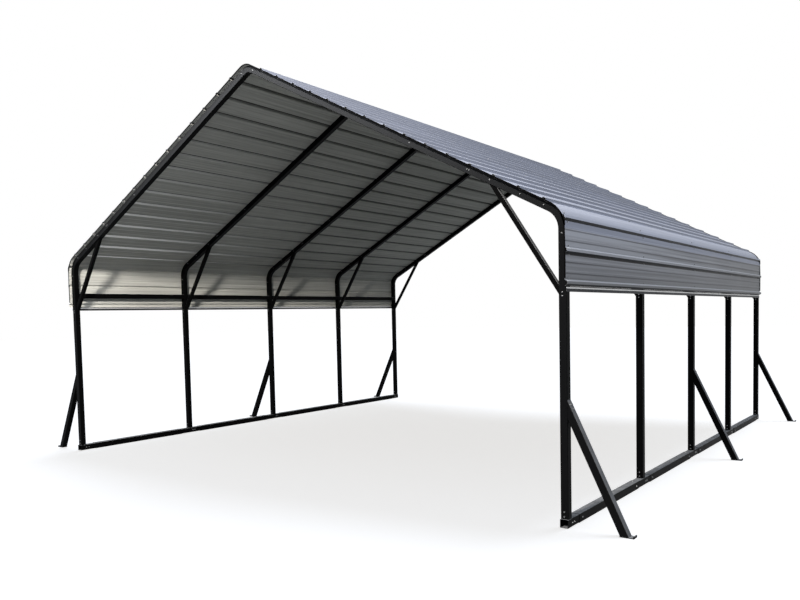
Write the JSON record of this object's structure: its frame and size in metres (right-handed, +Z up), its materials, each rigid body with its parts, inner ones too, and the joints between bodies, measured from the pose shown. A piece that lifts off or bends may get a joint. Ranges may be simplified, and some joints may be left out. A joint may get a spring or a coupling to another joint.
{
  "type": "carport",
  "caption": "Open steel carport with square-tube portal frames on base rails, knee and ground braces, and a ribbed sheet roof with rounded eaves and short side skirts.",
  "frame": {"origin": "middle of the footprint, on the ground under the base rails", "axes": "+X across the carport to its right side seen from the front, +Y along the ridge from front to back, +Z up"},
  "size_m": [7.0054, 6.213, 3.7577],
  "materials": {
    "frame": "satin black powder coat",
    "sheet": "blue-grey metallic coated ribbed steel sheet, plain pale grey backer inside",
    "fastener": "zinc-plated screws and bolts"
  },
  "bodies": {
    "root": {"left_post_1": "frame", "left_post_2": "frame", "left_post_3": "frame", "left_post_4": "frame", "left_post_5": "frame", "right_post_1": "frame", "right_post_2": "frame", "right_post_3": "frame", "right_post_4": "frame", "right_post_5": "frame", "left_rafter_1": "frame", "left_rafter_2": "frame", "left_rafter_3": "frame", "left_rafter_4": "frame", "left_rafter_5": "frame", "right_rafter_1": "frame", "right_rafter_2": "frame", "right_rafter_3": "frame", "right_rafter_4": "frame", "right_rafter_5": "frame", "left_eave_bends": "frame", "right_eave_bends": "frame", "ridge_bends": "frame", "left_post_feet": "frame", "right_post_feet": "frame", "left_base_rail": "frame", "right_base_rail": "frame", "left_side_rail": "frame", "right_side_rail": "frame", "left_knee_braces": "frame", "right_knee_braces": "frame", "left_ground_braces": "frame", "right_ground_braces": "frame", "left_foot_plates": "frame", "right_foot_plates": "frame", "left_skirt_trim": "frame", "right_skirt_trim": "frame", "ridge_sheet": "sheet", "left_roof_sheet_1": "sheet", "left_roof_sheet_2": "sheet", "left_roof_sheet_3": "sheet", "right_roof_sheet_1": "sheet", "right_roof_sheet_2": "sheet", "right_roof_sheet_3": "sheet", "left_eave_sheet": "sheet", "right_eave_sheet": "sheet", "left_skirt_sheet": "sheet", "right_skirt_sheet": "sheet"}
  },
  "joints": []
}
